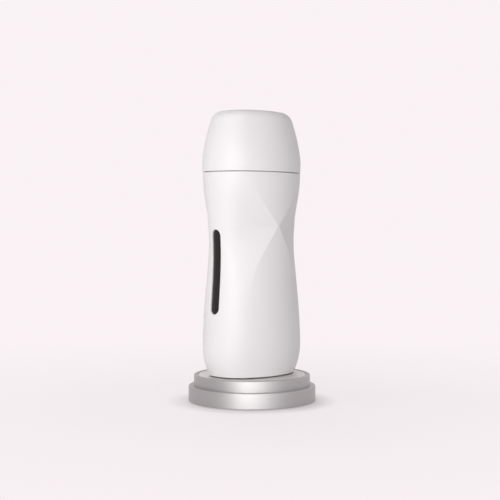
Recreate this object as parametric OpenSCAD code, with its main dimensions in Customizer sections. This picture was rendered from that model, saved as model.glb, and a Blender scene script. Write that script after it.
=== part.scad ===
// Roll on wax heater: a hand-held warmer with a pull-off cap and a lift-out wax cartridge,
// standing on a low round stand. Z is up. The origin is the middle of the stand's underside.
// X is the broad way across the heater, and the wax window is on its -X side. The broad
// front faces -Y, and the mains inlet, the button and the lamp are on the back, at +Y.

/* [Heater body] */
// Height of the heater from its feet to the top of the cap
heater_h = 178; // [170:1:190]
// Width across the bottom edge
foot_w = 63.2; // [60:0.2:66]
// Width across the hips, the widest place near the bottom
hip_w = 73.2; // [72:0.2:78]
// Width across the waist
waist_w = 67.2; // [66.8:0.2:70]
// Width across the shoulders, where the cap starts
shoulder_w = 74; // [73:0.2:78]
// Depth from front to back across the hips
hip_d = 53.3; // [53:0.2:58]
// Height of the hips
hip_z = 22; // [18:1:28]
// Height of the waist
waist_z = 80; // [70:1:90]
// Height of the shoulders
shoulder_z = 144; // [140:1:148]
// Height of the seam between the body and the cap
seam_z = 136.5; // [135:0.5:139]
// Wall of the moulded body
shell_wall = 2; // [1.6:0.1:2.2]
// Bow of the broad faces, as a share of their depth, out at the narrow sides
face_bow = 0.5; // [0.3:0.05:0.6]

/* [Creased faces] */
// Height where the two creases cross
cross_z = 100.7; // [92:1:108]
// How far a crease runs outwards for each millimetre up from the crossing
crease_up = 0.875; // [0.6:0.05:1]
// How far a crease runs outwards for each millimetre down from the crossing
crease_down = 0.69; // [0.5:0.05:0.9]
// Half the width of the little flat where the creases meet
cross_half = 0.25; // [0.2:0.05:0.6]
// How sharply the scoops fold away from the broad face at the crossing
crease_fold = 0.36; // [0.2:0.02:0.4]
// Height above the crossing over which the scoops fade out
fade_up = 36; // [30:1:42]
// Height below the crossing over which the scoops fade out
fade_down = 62; // [50:1:70]

/* [Cap] */
// How far the cap draws in on each side from the shoulders to its top
cap_taper = 8.6; // [6:0.2:10]
// Radius of the cap's top edge
cap_corner = 5.7; // [4:0.1:7]
// Thickness of the cap's top
cap_top = 3; // [2.4:0.2:4]
// Wall of the cap
cap_wall = 2; // [1.6:0.1:2.2]
// Open seam between the cap and the body
seam_gap = 0.5; // [0.3:0.1:0.8]
// How far the neck reaches up into the cap
neck_h = 8.5; // [7:0.5:10]
// Height of the stop ring inside the cap
stop_h = 2.5; // [2:0.5:4]
// Bevel round the top of the neck
neck_edge = 0.8; // [0.4:0.1:1.2]
// How far the grip beads stand out of the neck, under the cap
bead_out = 0.25; // [0.15:0.05:0.3]
// Length of a grip bead
bead_len = 18; // [10:1:24]

/* [Window] */
// Length of the wax window
window_len = 56; // [46:1:56]
// Width of the wax window
window_w = 8.3; // [7:0.1:9]
// Height of the window's middle
window_z = 70.4; // [68:0.2:71]
// How deep the lens sits below the wall's surface
window_recess = 0.6; // [0.4:0.1:0.8]
// Width of the lens flange behind the wall
lens_flange = 2.2; // [1.8:0.1:2.4]
// Thickness of the lens flange
flange_t = 1.1; // [0.9:0.1:1.2]
// Thickness of the gasket between the flange and the wall
gasket_t = 0.5; // [0.4:0.1:0.6]

/* [Cartridge] */
// Width of the cartridge
cartridge_w = 51; // [49:0.5:51]
// Depth of the cartridge
cartridge_d = 27; // [26:0.25:27]
// Height of the bottle
bottle_h = 102; // [100:0.5:103]
// Wall of the bottle
bottle_wall = 1.2; // [1:0.1:1.5]
// Thickness of the bottle's floor
bottle_floor = 1.5; // [1.2:0.1:2]
// Radius of the bottle's bottom edge
bottle_edge = 1.5; // [0.8:0.1:2]
// Length of the roller frame's spigot in the bottle
spigot_h = 5; // [4:0.5:7]
// Air left between the wax and the spigot
wax_air = 7.5; // [3:0.5:30]
// Diameter of the roller
roller_dia = 17; // [16:0.5:18]
// Length of the roller
roller_len = 38; // [36:0.5:39]
// Diameter of the roller's axle
axle_dia = 4; // [3.5:0.1:4.5]
// Radial clearance of the roller on its axle
roller_fit = 0.06; // [0.05:0.01:0.1]
// Gap between the roller and its frame
roller_gap = 0.4; // [0.35:0.05:0.6]
// Thickness of the cheeks that carry the axle
cheek_t = 2.4; // [2:0.1:2.6]

/* [Heated chamber] */
// Height of the chamber's underside
chamber_z = 37; // [37:0.5:38.5]
// Wall of the aluminium chamber
chamber_wall = 1; // [0.8:0.1:1.2]
// Thickness of the chamber's floor
chamber_floor = 1.5; // [1.2:0.1:2]
// Height of the chamber
chamber_h = 96; // [94:0.5:98]
// Gap round the cartridge
cartridge_gap = 0.4; // [0.3:0.05:0.5]
// Bevel that leads the cartridge into the well
mouth_edge = 0.8; // [0.4:0.1:1.2]
// Width of the slot that lets the wax be seen
sight_w = 10; // [8:0.5:12]
// Width of a heating plate
plate_w = 18; // [14:0.5:18]
// Height of a heating plate
plate_h = 46; // [30:1:48]
// Thickness of a heating plate
plate_t = 3; // [2:0.1:3.2]
// Thickness of the sprung strap
clip_t = 0.6; // [0.4:0.1:0.8]
// Diameter of the thermostat
thermostat_dia = 13; // [11:0.5:15]
// Thickness of the thermostat
thermostat_t = 4.6; // [4:0.1:5]
// Diameter of the thermal fuse
fuse_dia = 3.6; // [3:0.1:3.8]
// Length of the thermal fuse
fuse_len = 11; // [9:0.5:12]

/* [Base and boards] */
// Height of the feet under the base cover
foot_h = 0.8; // [0.6:0.1:1]
// Thickness of the base cover
cover_t = 2.4; // [2.2:0.1:2.8]
// Assembly gap between pieces that drop in
fit = 0.15; // [0.1:0.01:0.2]
// Distance of the cradle's posts from the middle, along X
post_x = 23.5; // [22.5:0.1:24]
// Distance of the cradle's posts from the middle, along Y
post_y = 8.5; // [8:0.1:9]
// Diameter of the posts
post_dia = 6.4; // [6:0.1:6.6]
// Length of the main board
board_w = 38; // [34:0.5:38]
// Depth of the main board
board_d = 22; // [18:0.5:22]
// Thickness of the boards
board_t = 1.2; // [1:0.1:1.6]
// Height of the posts under the main board
standoff_h = 2.4; // [2:0.1:3]
// Diameter of the board posts
standoff_dia = 4.4; // [4:0.1:4.6]

/* [Inlet, button and lamp] */
// Height of the inlet's middle
inlet_z = 15.5; // [15:0.1:16.2]
// Radius of the ends of the inlet's socket
socket_r = 4.5; // [4.4:0.05:4.6]
// Distance between the middles of the socket's ends
socket_c = 6.6; // [6.4:0.1:7]
// Depth of the socket
socket_depth = 9.6; // [8:0.1:10]
// Diameter of the inlet's pins
pin_dia = 2.4; // [2.2:0.1:2.5]
// Distance between the pins
pin_pitch = 8.6; // [8.4:0.1:8.8]
// Height of the button's middle
button_z = 27.6; // [27.4:0.1:28]
// Diameter of the button
button_dia = 9; // [8:0.1:9.2]
// How far the button stands out of the wall
button_proud = 0.7; // [0.4:0.1:1]
// How far the button travels
button_travel = 1.2; // [0.8:0.1:1.3]
// Gap round the button
button_gap = 0.15; // [0.1:0.05:0.25]
// Height of the indicator lamp
lamp_z = 36; // [35.4:0.1:36.4]
// Diameter of the indicator lamp's window
lamp_dia = 3; // [2.6:0.1:3.4]

/* [Stand] */
// Diameter of the stand's lower tier
lower_dia = 86.3; // [84:0.1:96]
// Height of the stand's lower tier
lower_h = 10.4; // [9:0.1:14]
// Diameter of the stand's upper tier
upper_dia = 79; // [77:0.1:80]
// Height of the stand's upper tier
upper_h = 7.4; // [6:0.1:10]
// Wall of the tiers
tier_wall = 2.4; // [2:0.1:3]
// Radius of the tiers' top edges
tier_round = 0.9; // [0.5:0.1:1.4]
// Diameter of the inset pad on the top
pad_dia = 73.6; // [72:0.1:74]
// Thickness of the inset pad
pad_t = 1.4; // [1:0.1:1.6]
// How far the pad lies below the rim of the upper tier
pad_drop = 0.3; // [0.2:0.05:0.5]
// How far the stand's rubber feet stand out
rubber_h = 0.7; // [0.5:0.1:1]
// Diameter of the stand's rubber feet
rubber_dia = 11; // [9:0.5:12]

/* [Hidden] */
$fn = 72;

// Fine steps of the moulded surfaces
FACE_STEPS = 5;     // points from the middle of a broad face to its crease
CORNER_STEPS = 11;  // points from the crease round to the narrow side
eps = 0.01;

// Heights that follow from the driving sizes
shell_z = foot_h;
cover_top = foot_h + cover_t;
board_z = cover_top + standoff_h;
neck_z = seam_z + neck_h;
cap_z = seam_z + seam_gap;
cavity_z = heater_h - cap_top;
chamber_top = chamber_z + chamber_h;
bottle_z = chamber_z + chamber_floor;
bottle_top = bottle_z + bottle_h;

// Plan of the cartridge and of what is round it: two round ends, end_c each way from the middle
bottle_r = cartridge_d / 2;
end_c = (cartridge_w - cartridge_d) / 2;
well_r = bottle_r + cartridge_gap;
chamber_r = well_r + chamber_wall;
cradle_r = chamber_r + fit + 1.5;
cradle_t = 3.5;
cradle_z = chamber_z - cradle_t;
lip_h = 4;

// Stand, from the ground up
lower_top = rubber_h + lower_h;
stand_h = lower_top + upper_h;
seat_z = stand_h - pad_drop;

// ---- Curves of the moulded body -------------------------------------------------------

// Smooth step from 0 to 1
function ease(t) = let (u = min(max(t, 0), 1)) u * u * (3 - 2 * u);
function between(a, b, t) = a + (b - a) * t;

// Half the width of the body and cap at height z, before the cap's top edge is rounded
function side_line(z) =
    z < hip_z
        ? hip_w / 2 - (hip_w - foot_w) / 2 * pow((hip_z - z) / (hip_z - shell_z), 2.4)
    : z < waist_z
        ? between(hip_w, waist_w, ease((z - hip_z) / (waist_z - hip_z))) / 2
    : z < shoulder_z
        ? between(waist_w, shoulder_w, ease((z - waist_z) / (shoulder_z - waist_z))) / 2
    : shoulder_w / 2 - cap_taper * pow((z - shoulder_z) / (heater_h - shoulder_z), 1.5);

// What the rounded top edge takes off at height z
function edge_round(z) =
    let (up = min(z - (heater_h - cap_corner), cap_corner))
    up > 0 ? cap_corner - sqrt(cap_corner * cap_corner - up * up) : 0;

function half_w(z) = side_line(z) - edge_round(z);
function half_d(z) = half_w(z) * hip_d / hip_w;

// How strongly the scoops show at height z: 1 at the crossing, 0 where they have faded
function scoop(z) = ease(1 - abs(z - cross_z) / (z > cross_z ? fade_up : fade_down));

// How far the crease is from the middle of the face at height z. It runs straight out from
// the crossing and turns upright before it reaches the narrow side.
function crease_x(z) =
    let (run = cross_half + abs(z - cross_z) * (z > cross_z ? crease_up : crease_down),
         most = 0.66 * half_w(z))
    run / pow(1 + pow(run / most, 4), 0.25);

// Bowed broad face: its depth at x
function face_y(z, x) = half_d(z) * (1 - face_bow * pow(x / half_w(z), 2));

// Conic from the crease, along the scoop, round the corner to the narrow side
function corner_pt(a, b, c, weight, t) =
    let (p = pow(1 - t, 2), q = 2 * weight * t * (1 - t), r = t * t)
    (p * a + q * b + r * c) / (p + q + r);

// A quarter of the section at height z, from the middle of the broad face to the narrow side
function quarter(z) =
    let (w = half_w(z), xc = crease_x(z), yc = face_y(z, xc),
         fall = 2 * face_bow * half_d(z) * xc / (w * w) + crease_fold * scoop(z),
         a = [xc, yc], b = [w, yc - fall * (w - xc)], c = [w, 0])
    concat([for (i = [0 : FACE_STEPS - 1]) let (x = xc * i / FACE_STEPS) [x, face_y(z, x)]],
           [for (i = [0 : CORNER_STEPS]) corner_pt(a, b, c, 1 + scoop(z), i / CORNER_STEPS)]);

// The whole section at height z, anticlockwise from the +X side
function outline(z) =
    let (q = quarter(z), n = len(q) - 1)
    concat([for (i = [n : -1 : 1]) [q[i][0], q[i][1]]],
           [for (i = [0 : n - 1]) [-q[i][0], q[i][1]]],
           [for (i = [n : -1 : 1]) [-q[i][0], -q[i][1]]],
           [for (i = [0 : n - 1]) [q[i][0], -q[i][1]]]);

// A closed outline moved inwards by t
function inset(pts, t) =
    let (n = len(pts))
    [for (i = [0 : n - 1])
        let (v = pts[(i + 1) % n] - pts[(i + n - 1) % n], l = norm(v))
        pts[i] + t * [-v[1], v[0]] / l];

function section(z, t = 0) = t == 0 ? outline(z) : inset(outline(z), t);
function ring(z, t = 0) = [for (p = section(z, t)) [p[0], p[1], z]];
function steps(a, b, n) = [for (i = [0 : n]) between(a, b, i / n)];

// ---- Helpers --------------------------------------------------------------------------

function middle(pts) = [for (p = pts) 1] * pts / len(pts);

// Skin over a stack of rings. A wrapped stack closes on itself like a tube wall, and any
// other one is closed by a fan at each end.
module skin(rings, wrap = false) {
    n = len(rings[0]);
    m = len(rings);
    flat = [for (r = rings) each r];
    sides = [for (r = [0 : m - (wrap ? 1 : 2)], i = [0 : n - 1])
        let (s = (r + 1) % m, j = (i + 1) % n)
        each [[r * n + i, s * n + i, s * n + j], [r * n + i, s * n + j, r * n + j]]];
    if (wrap)
        polyhedron(points = flat, faces = sides);
    else
        polyhedron(
            points = concat(flat, [middle(rings[0]), middle(rings[m - 1])]),
            faces = concat(sides,
                [for (i = [0 : n - 1]) [m * n, i, (i + 1) % n]],
                [for (i = [0 : n - 1]) [m * n + 1, (m - 1) * n + (i + 1) % n, (m - 1) * n + i]]));
}

// Wall of the body between two insets, over the heights zs. The inner side takes every
// few of those heights, counted by thin.
module body_wall(zs, t0, t1, thin = 1) {
    last = len(zs) - 1;
    inner = concat([zs[last]], [for (i = [last - thin : -thin : 1]) zs[i]], [zs[0]]);
    skin(concat([for (z = zs) ring(z, t0)], [for (z = inner) ring(z, t1)]), wrap = true);
}

// Upright prism over the body's section at height z, moved in by t
module body_prism(z, t, h) linear_extrude(h) polygon(section(z, t));

// Flat shape with two round ends, c each way from the middle
module stadium(r, c) {
    square([2 * c, 2 * r], center = true);
    for (s = [-1, 1]) translate([s * c, 0]) circle(r);
}

module stadium_tube(r, wall, c, h) linear_extrude(h) difference() {
    stadium(r, c);
    stadium(r - wall, c);
}

// Half profile of a block, from its middle out to r, with a rounded lower edge
module footed_profile(r, h, edge) {
    translate([0, edge]) square([r, h - edge]);
    square([r - edge, h]);
    translate([r - edge, edge]) circle(edge, $fn = 32);
}

// Stadium block with a rounded lower edge: a turned end each way and a straight middle
module footed_stadium(r, c, h, edge) {
    for (s = [-1, 1]) translate([s * c, 0, 0]) rotate_extrude() intersection() {
        footed_profile(r, h, edge);
        square([r, h]);
    }
    for (s = [0, 1]) mirror([0, s, 0]) translate([-c, 0, 0]) rotate([90, 0, 90])
        linear_extrude(2 * c) footed_profile(r, h, edge);
}

// Funnel that cuts a bevel round a stadium-shaped mouth
module stadium_funnel(r, c, h) {
    for (s = [-1, 1]) translate([s * c, 0, 0]) cylinder(h = h, r1 = r, r2 = r + h);
    translate([-c, 0, 0]) rotate([90, 0, 90]) linear_extrude(2 * c)
        polygon([[-r, 0], [r, 0], [r + h, h], [-r - h, h]]);
}

// Turns what is drawn upright so that its Z runs out of the back of the heater, along +Y
module out_back(y, z) translate([0, y, z]) rotate([-90, 0, 0]) children();

// Slot shape that runs along X through the narrow side with the window
module window_slot(grow) translate([0, 0, window_z]) rotate([0, -90, 0])
    linear_extrude(hip_w) stadium(window_w / 2 + grow, (window_len - window_w) / 2);

// Round wire along a path, bent at each inner point. No stretch of it may run along X.
module wire(path, dia) {
    n = len(path) - 1;
    skin([for (i = [0 : n])
        let (v = path[min(i + 1, n)] - path[max(i - 1, 0)], along = v / norm(v),
             u = cross(along, [1, 0, 0]), across = u / norm(u), up = cross(along, across))
        [for (a = [0 : 45 : 315]) path[i] + dia / 2 * (cos(a) * across + sin(a) * up)]]);
}

// Pan-head screw pointing down, its head standing on z = 0
module pan_screw(dia, len, head_dia, head_h) {
    translate([0, 0, -len]) cylinder(h = len, d = dia, $fn = 32);
    difference() {
        cylinder(h = head_h, d1 = head_dia, d2 = head_dia * 0.78, $fn = 32);
        for (a = [0, 90]) rotate(a) translate([-head_dia * 0.3, -head_dia * 0.06, head_h * 0.5])
            cube([head_dia * 0.6, head_dia * 0.12, head_h]);
    }
}

module on_stand() translate([0, 0, seat_z]) children();
module four(x, y) for (sx = [-1, 1], sy = [-1, 1]) translate([sx * x, sy * y, 0]) children();

// ---- Stand ----------------------------------------------------------------------------

STAND_STEEL = "#c9c8c8";
tier_lap = 3;                         // land at the top of each tier, for its screws
plate_t2 = 2;                         // thickness of the closing plate
plate_z = rubber_h + 0.8;
plate_dia = lower_dia - 2 * tier_wall - 2 * fit;
stand_screw_r = 24;
stand_screw_dia = 3;
boss_r = 34;
boss_dia = 7;

// Turned cup, open underneath, with a rounded top edge
module tier(dia, h) rotate_extrude($fn = 120) {
    r = dia / 2;
    difference() {
        union() {
            square([r, h - tier_round]);
            square([r - tier_round, h]);
            translate([r - tier_round, h - tier_round]) circle(tier_round, $fn = 32);
        }
        translate([-eps, -eps]) square([r - tier_wall + eps, h - tier_wall + eps]);
    }
}

module stand_lower_tier() color(STAND_STEEL) translate([0, 0, rubber_h]) {
    boss_z = plate_z + plate_t2 - rubber_h;
    difference() {
        union() {
            tier(lower_dia, lower_h);
            for (a = [45 : 90 : 315]) rotate(a) translate([boss_r, 0, boss_z])
                cylinder(h = lower_h - tier_wall + eps - boss_z, d = boss_dia);
        }
        for (a = [45 : 90 : 315]) rotate(a) translate([boss_r, 0, boss_z - eps])
            cylinder(h = 4, d = stand_screw_dia);
        for (a = [0 : 120 : 240]) rotate(a) translate([stand_screw_r, 0, lower_h - tier_wall - eps])
            cylinder(h = tier_wall + 2 * eps, d = stand_screw_dia + 0.4);
    }
}

module stand_upper_tier() color(STAND_STEEL) translate([0, 0, lower_top]) difference() {
    union() {
        tier(upper_dia, upper_h);
        for (a = [0 : 120 : 240]) rotate(a) translate([stand_screw_r, 0, 0])
            cylinder(h = upper_h - tier_wall + eps, d = boss_dia);
    }
    translate([0, 0, upper_h - pad_drop - pad_t])
        cylinder(h = pad_drop + pad_t + eps, d = pad_dia + 2 * fit);
    for (a = [0 : 120 : 240]) rotate(a) translate([stand_screw_r, 0, -eps])
        cylinder(h = 4, d = stand_screw_dia);
}

module stand_top_pad() color("#d6d5d4") translate([0, 0, stand_h - pad_drop - pad_t])
    cylinder(h = pad_t, d = pad_dia, $fn = 120);

module stand_base_plate() color("#77797c") translate([0, 0, plate_z]) difference() {
    cylinder(h = plate_t2, d = plate_dia, $fn = 120);
    for (a = [45 : 90 : 315]) rotate(a) translate([boss_r, 0, -eps])
        cylinder(h = plate_t2 + 2 * eps, d = stand_screw_dia + 0.4);
}

module stand_feet() color("#2b2b2c")
    for (a = [0 : 90 : 270]) rotate(a) translate([boss_r - 4, 0, 0])
        cylinder(h = plate_z, d1 = rubber_dia - 0.6, d2 = rubber_dia);

module stand_screws() color("#a8a8a8") {
    for (a = [45 : 90 : 315]) rotate(a) translate([boss_r, 0, plate_z])
        mirror([0, 0, 1]) pan_screw(stand_screw_dia, plate_t2 + 3.6, 5.6, 0.7);
    for (a = [0 : 120 : 240]) rotate(a) translate([stand_screw_r, 0, lower_top - tier_wall])
        mirror([0, 0, 1]) pan_screw(stand_screw_dia, tier_wall + 3.6, 5.6, 1.6);
}

// ---- Heater: housing ------------------------------------------------------------------

BODY_WHITE = "#f4f2f4";
hole_back = half_d(inlet_z) + 5;      // beyond the back wall
nose_r = socket_r + 0.85;             // bezel of the inlet, which fills the hole in the wall

module outer_shell() color(BODY_WHITE) on_stand() difference() {
    body_wall(concat(steps(shell_z, hip_z, 6), steps(hip_z + 5, cross_z, 13),
                     steps(cross_z + 3, seam_z, 9)), 0, shell_wall, thin = 3);
    window_slot(0);
    out_back(0, inlet_z) linear_extrude(hole_back) stadium(nose_r + fit, socket_c / 2);
    out_back(0, button_z) cylinder(h = hole_back, d = button_dia + 2 * button_gap);
    out_back(0, lamp_z) cylinder(h = hole_back, d = lamp_dia + 2 * fit);
}

seal_gap = 0.1;                       // between wall, gasket and flange
lens_past = 4;                        // how far the lens's wall is drawn past the window
lens_rows = steps(window_z - window_len / 2 - lens_past, window_z + window_len / 2 + lens_past, 6);
seal_in = shell_wall + seal_gap;
flange_in = seal_in + gasket_t + seal_gap;

module window_lens() color("#1d1b1a", 0.9) on_stand() {
    intersection() {
        body_wall(lens_rows, window_recess, flange_in + flange_t / 2);
        window_slot(-fit);
    }
    intersection() {
        body_wall(lens_rows, flange_in, flange_in + flange_t);
        window_slot(lens_flange);
    }
}

module window_gasket() color("#3a3836") on_stand() intersection() {
    body_wall(lens_rows, seal_in, seal_in + gasket_t);
    difference() {
        window_slot(lens_flange);
        window_slot(0.2);
    }
}

cover_screw_dia = 2.5;
cover_head_dia = 4.6;
pilot_len = 9;
pad_x = 15;
pad_y = 13;
board_hole_x = board_w / 2 - 3;
board_hole_y = board_d / 2 - 3;
board_y = -3;
board_screw_dia = 1.9;
hook_x = 7;                           // the control board's two bosses on the cradle
hook_z = cradle_z + cradle_t / 2;

module base_cover() color("#e4e2e4") on_stand() difference() {
    union() {
        translate([0, 0, shell_z]) body_prism(shell_z, shell_wall + fit, cover_t);
        translate([0, board_y, cover_top - eps]) four(board_hole_x, board_hole_y)
            cylinder(h = standoff_h + eps, d = standoff_dia);
    }
    four(post_x, post_y) {
        translate([0, 0, shell_z - eps]) cylinder(h = 1.2 + eps, d = cover_head_dia + 0.6);
        cylinder(h = cover_top + 1, d = cover_screw_dia + 0.3);
    }
    four(pad_x, pad_y) translate([0, 0, shell_z - eps]) cylinder(h = 0.6, d = 7 + 2 * fit);
    translate([0, board_y, board_z - 3.4]) four(board_hole_x, board_hole_y)
        cylinder(h = 3.5, d = board_screw_dia);
}

module base_feet() color("#2b2b2c") on_stand() four(pad_x, pad_y)
    cylinder(h = foot_h + 0.6 - eps, d1 = 6.6, d2 = 7);

module base_screws() color("#b4b4b4") on_stand() four(post_x, post_y)
    translate([0, 0, shell_z + 1.2]) mirror([0, 0, 1])
        pan_screw(cover_screw_dia, cover_t - 1.2 + pilot_len - 1, cover_head_dia, 1.1);

collar_drop = 8.5;                    // how far the collar reaches down inside the housing
collar_z = seam_z - collar_drop;
collar_wall = 2;
neck_in = max(shell_wall, cap_wall) + fit;         // the neck fits in the housing and in the cap
neck_t = 2;                           // thickness of the neck's top
bead_h = 1;
bead_z = neck_z - neck_edge - 2.4;    // underside of the grip beads

// Plan of the neck's wall, which reaches out past its own surface by so much
module neck_wall(out = 0) difference() {
    polygon(section(collar_z, neck_in - out));
    polygon(section(collar_z, neck_in + collar_wall));
}

module top_collar() color("#e9e7ea") on_stand() difference() {
    union() {
        translate([0, 0, collar_z]) linear_extrude(neck_z - neck_t - collar_z + eps) neck_wall();
        translate([0, 0, bead_z]) linear_extrude(bead_h) intersection() {
            neck_wall(bead_out);
            square([bead_len, hip_d], center = true);
        }
        skin([for (e = [[neck_t, 0], [neck_edge, 0], [0, neck_edge]])
            [for (p = section(collar_z, neck_in + e[1])) [p[0], p[1], neck_z - e[0]]]]);
        translate([0, 0, chamber_top]) linear_extrude(neck_z - chamber_top)
            stadium(well_r + fit + 1.6, end_c);
    }
    translate([0, 0, chamber_z]) linear_extrude(chamber_h) stadium(chamber_r + fit, end_c);
    translate([0, 0, chamber_z]) linear_extrude(neck_z - chamber_z + 1) stadium(well_r + fit, end_c);
    translate([0, 0, neck_z - mouth_edge]) stadium_funnel(well_r + fit, end_c, mouth_edge + eps);
}

// ---- Heater: chamber and what heats it --------------------------------------------------

module chamber_cradle() color("#3c3b3d") on_stand() difference() {
    union() {
        translate([0, 0, cradle_z]) linear_extrude(cradle_t) stadium(cradle_r, end_c);
        translate([0, 0, chamber_z - eps])
            stadium_tube(cradle_r, cradle_r - chamber_r - fit, end_c, lip_h);
        four(post_x, post_y) translate([0, 0, cover_top])
            cylinder(h = cradle_z - cover_top + 1, d = post_dia);
        for (s = [-1, 1]) out_back(cradle_r - 3, hook_z) translate([s * hook_x, 0, 0])
            cylinder(h = control_y - cradle_r + 3, d = cradle_t - 0.3);
    }
    four(post_x, post_y) translate([0, 0, cover_top - eps])
        cylinder(h = pilot_len, d = cover_screw_dia);
    for (s = [-1, 1]) out_back(control_y - 4, hook_z) translate([s * hook_x, 0, 0])
        cylinder(h = 5, d = board_screw_dia);
    translate([0, 0, cradle_z - 1]) linear_extrude(cradle_t + 2) stadium(3.5, 8);
    // way past the lip for the lens and for the two plates
    translate([-end_c - cradle_r - 2, -sight_w / 2 - 2, chamber_z + 1]) cube([8, sight_w + 4, lip_h]);
    translate([-plate_w / 2 - 1, -cradle_r - 1, chamber_z + 1]) cube([plate_w + 2, 2 * cradle_r + 2, lip_h]);
}

sight_z = window_z - window_len / 2 - 1;

module heating_chamber() color("#c4c6c9") on_stand() difference() {
    translate([0, 0, chamber_z]) linear_extrude(chamber_h) stadium(chamber_r, end_c);
    translate([0, 0, bottle_z]) linear_extrude(chamber_h) stadium(well_r, end_c);
    translate([-end_c - chamber_r - 1, -sight_w / 2, sight_z])
        cube([chamber_r, sight_w, window_len + 2]);
}

plate_z0 = chamber_z + 4.5;
clip_w = 10;                          // width of the strap
clip_foot = 2.6;                      // length of each foot on the chamber
clip_z = plate_z0 + (plate_h - clip_w) / 2;

module heater_plate() translate([-plate_w / 2, chamber_r, plate_z0]) cube([plate_w, plate_t, plate_h]);
module heater_plate_front() color("#efe9dc") on_stand() mirror([0, 1, 0]) heater_plate();
module heater_plate_back() color("#efe9dc") on_stand() heater_plate();

// Sprung strap over a heating plate: two feet on the chamber and a bridge over the plate
module strap() translate([0, chamber_r, clip_z]) linear_extrude(clip_w) {
    gap = 0.1;
    half = plate_w / 2 + gap;
    for (s = [-1, 1]) {
        translate([s > 0 ? half : -half - clip_foot, 0]) square([clip_foot, clip_t]);
        translate([s > 0 ? half : -half - clip_t, 0]) square([clip_t, plate_t + clip_t]);
    }
    translate([-half, plate_t]) square([2 * half, clip_t]);
}

module heater_clips() color("#9fa3a8") on_stand() for (s = [0, 1]) mirror([0, s, 0]) strap();

sensor_gap = 14;                      // from the plates up to the thermostat
thermostat_z = plate_z0 + plate_h + sensor_gap + thermostat_dia / 2;

module thermostat() color("#d9cfb8") on_stand() {
    out_back(chamber_r, thermostat_z) {
        cylinder(h = thermostat_t * 0.45, d = thermostat_dia);
        cylinder(h = thermostat_t, d = thermostat_dia - 2);
        for (s = [-1, 1]) translate([s * 3.2 - 1.2, -0.4, thermostat_t - eps]) cube([2.4, 0.8, 1.2]);
    }
}

fuse_z = plate_z0 + plate_h + sensor_gap / 2;

module thermal_fuse() color("#c9ccd0") on_stand() translate([0, -chamber_r - fuse_dia / 2, fuse_z])
    rotate([0, 90, 0]) {
        cylinder(h = fuse_len, d = fuse_dia, center = true);
        cylinder(h = fuse_len + 7, d = 1, center = true, $fn = 24);
    }

// ---- Heater: mains inlet, boards, button ------------------------------------------------

inlet_front = half_d(inlet_z) - 1.5;               // end of the bezel, just inside the surface
nose_len = 2.9;
inlet_face = inlet_front - nose_len;
well_floor = inlet_front - socket_depth;
inlet_back = well_floor - 1.6;
pin_out = inlet_front - 0.6;

module mains_inlet() color("#232325") on_stand() difference() {
    union() {
        out_back(inlet_back, inlet_z) linear_extrude(inlet_face - inlet_back)
            stadium(socket_r + 1.3, socket_c / 2);
        out_back(inlet_back, inlet_z) linear_extrude(inlet_front - inlet_back)
            stadium(nose_r, socket_c / 2);
    }
    out_back(well_floor, inlet_z) linear_extrude(socket_depth + 1) stadium(socket_r, socket_c / 2);
    for (s = [-1, 1]) translate([s * pin_pitch / 2, 0, 0]) out_back(inlet_back - 1, inlet_z)
        cylinder(h = 6, d = pin_dia - 0.4);
}

// The pins: a thinner root through the inlet's floor, and the contact pin in the socket
module inlet_pins() color("#d8d3c4") on_stand() for (s = [-1, 1]) translate([s * pin_pitch / 2, 0, 0]) {
    out_back(inlet_back - 2.4, inlet_z) cylinder(h = well_floor - inlet_back + 2.4 + eps, d = pin_dia - 0.4);
    out_back(well_floor, inlet_z) cylinder(h = pin_out - well_floor - 0.5, d = pin_dia);
    out_back(pin_out - 0.5, inlet_z) cylinder(h = 0.5, d1 = pin_dia, d2 = pin_dia - 0.9);
}

module main_board() color("#2f6b4a") on_stand() translate([0, board_y, board_z]) difference() {
    translate([-board_w / 2, -board_d / 2, 0]) cube([board_w, board_d, board_t]);
    four(board_hole_x, board_hole_y) translate([0, 0, -1]) cylinder(h = board_t + 2, d = board_screw_dia + 0.5);
}

control_w = 18;                       // width of the control board
control_y = cradle_r + 0.6;
control_z = inlet_z + socket_r + 1.3 + 0.4;
control_top = lamp_z + 3;

module control_board() color("#2f6b4a") on_stand() difference() {
    translate([-control_w / 2, control_y, control_z])
        cube([control_w, board_t, control_top - control_z]);
    for (s = [-1, 1]) out_back(control_y - 1, hook_z) translate([s * hook_x, 0, 0])
        cylinder(h = board_t + 2, d = board_screw_dia + 0.5);
}

module board_screws() color("#b4b4b4") on_stand() {
    translate([0, board_y, board_z + board_t]) four(board_hole_x, board_hole_y)
        pan_screw(board_screw_dia, board_t + 3.2, 3.8, 1.2);
    for (s = [-1, 1]) out_back(control_y + board_t, hook_z) translate([s * hook_x, 0, 0])
        pan_screw(board_screw_dia, board_t + 3.6, 3.4, 1.1);
}

block_x = -8;
block_y = board_y + board_d / 2 - 8.5;

module terminal_block() color("#3f7f5f") on_stand() translate([block_x, block_y, board_z + board_t])
    difference() {
        translate([-5.1, -3.5, 0]) cube([10.2, 7, 8]);
        for (s = [-1, 1]) translate([s * 2.5, 0, 5]) cylinder(h = 4, d = 3);
        for (s = [-1, 1]) translate([s * 2.5, -4, 3]) rotate([-90, 0, 0]) cylinder(h = 8, d = 2.6);
    }

module film_capacitor() color("#c9b14a") on_stand() translate([8, board_y - 3, board_z + board_t])
    linear_extrude(9) {
        square([11, 4], center = true);
        for (s = [-1, 1]) translate([s * 5.5, 0]) circle(2, $fn = 32);
    }

module drop_resistor() color("#8a6f52") on_stand()
    translate([-7, board_y - 6, board_z + board_t + 2.25]) rotate([0, 90, 0]) {
        cylinder(h = 11, d = 4, center = true);
        for (s = [-1, 1]) translate([0, 0, s * 4.8]) cylinder(h = 1.8, d = 4.5, center = true);
    }

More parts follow.
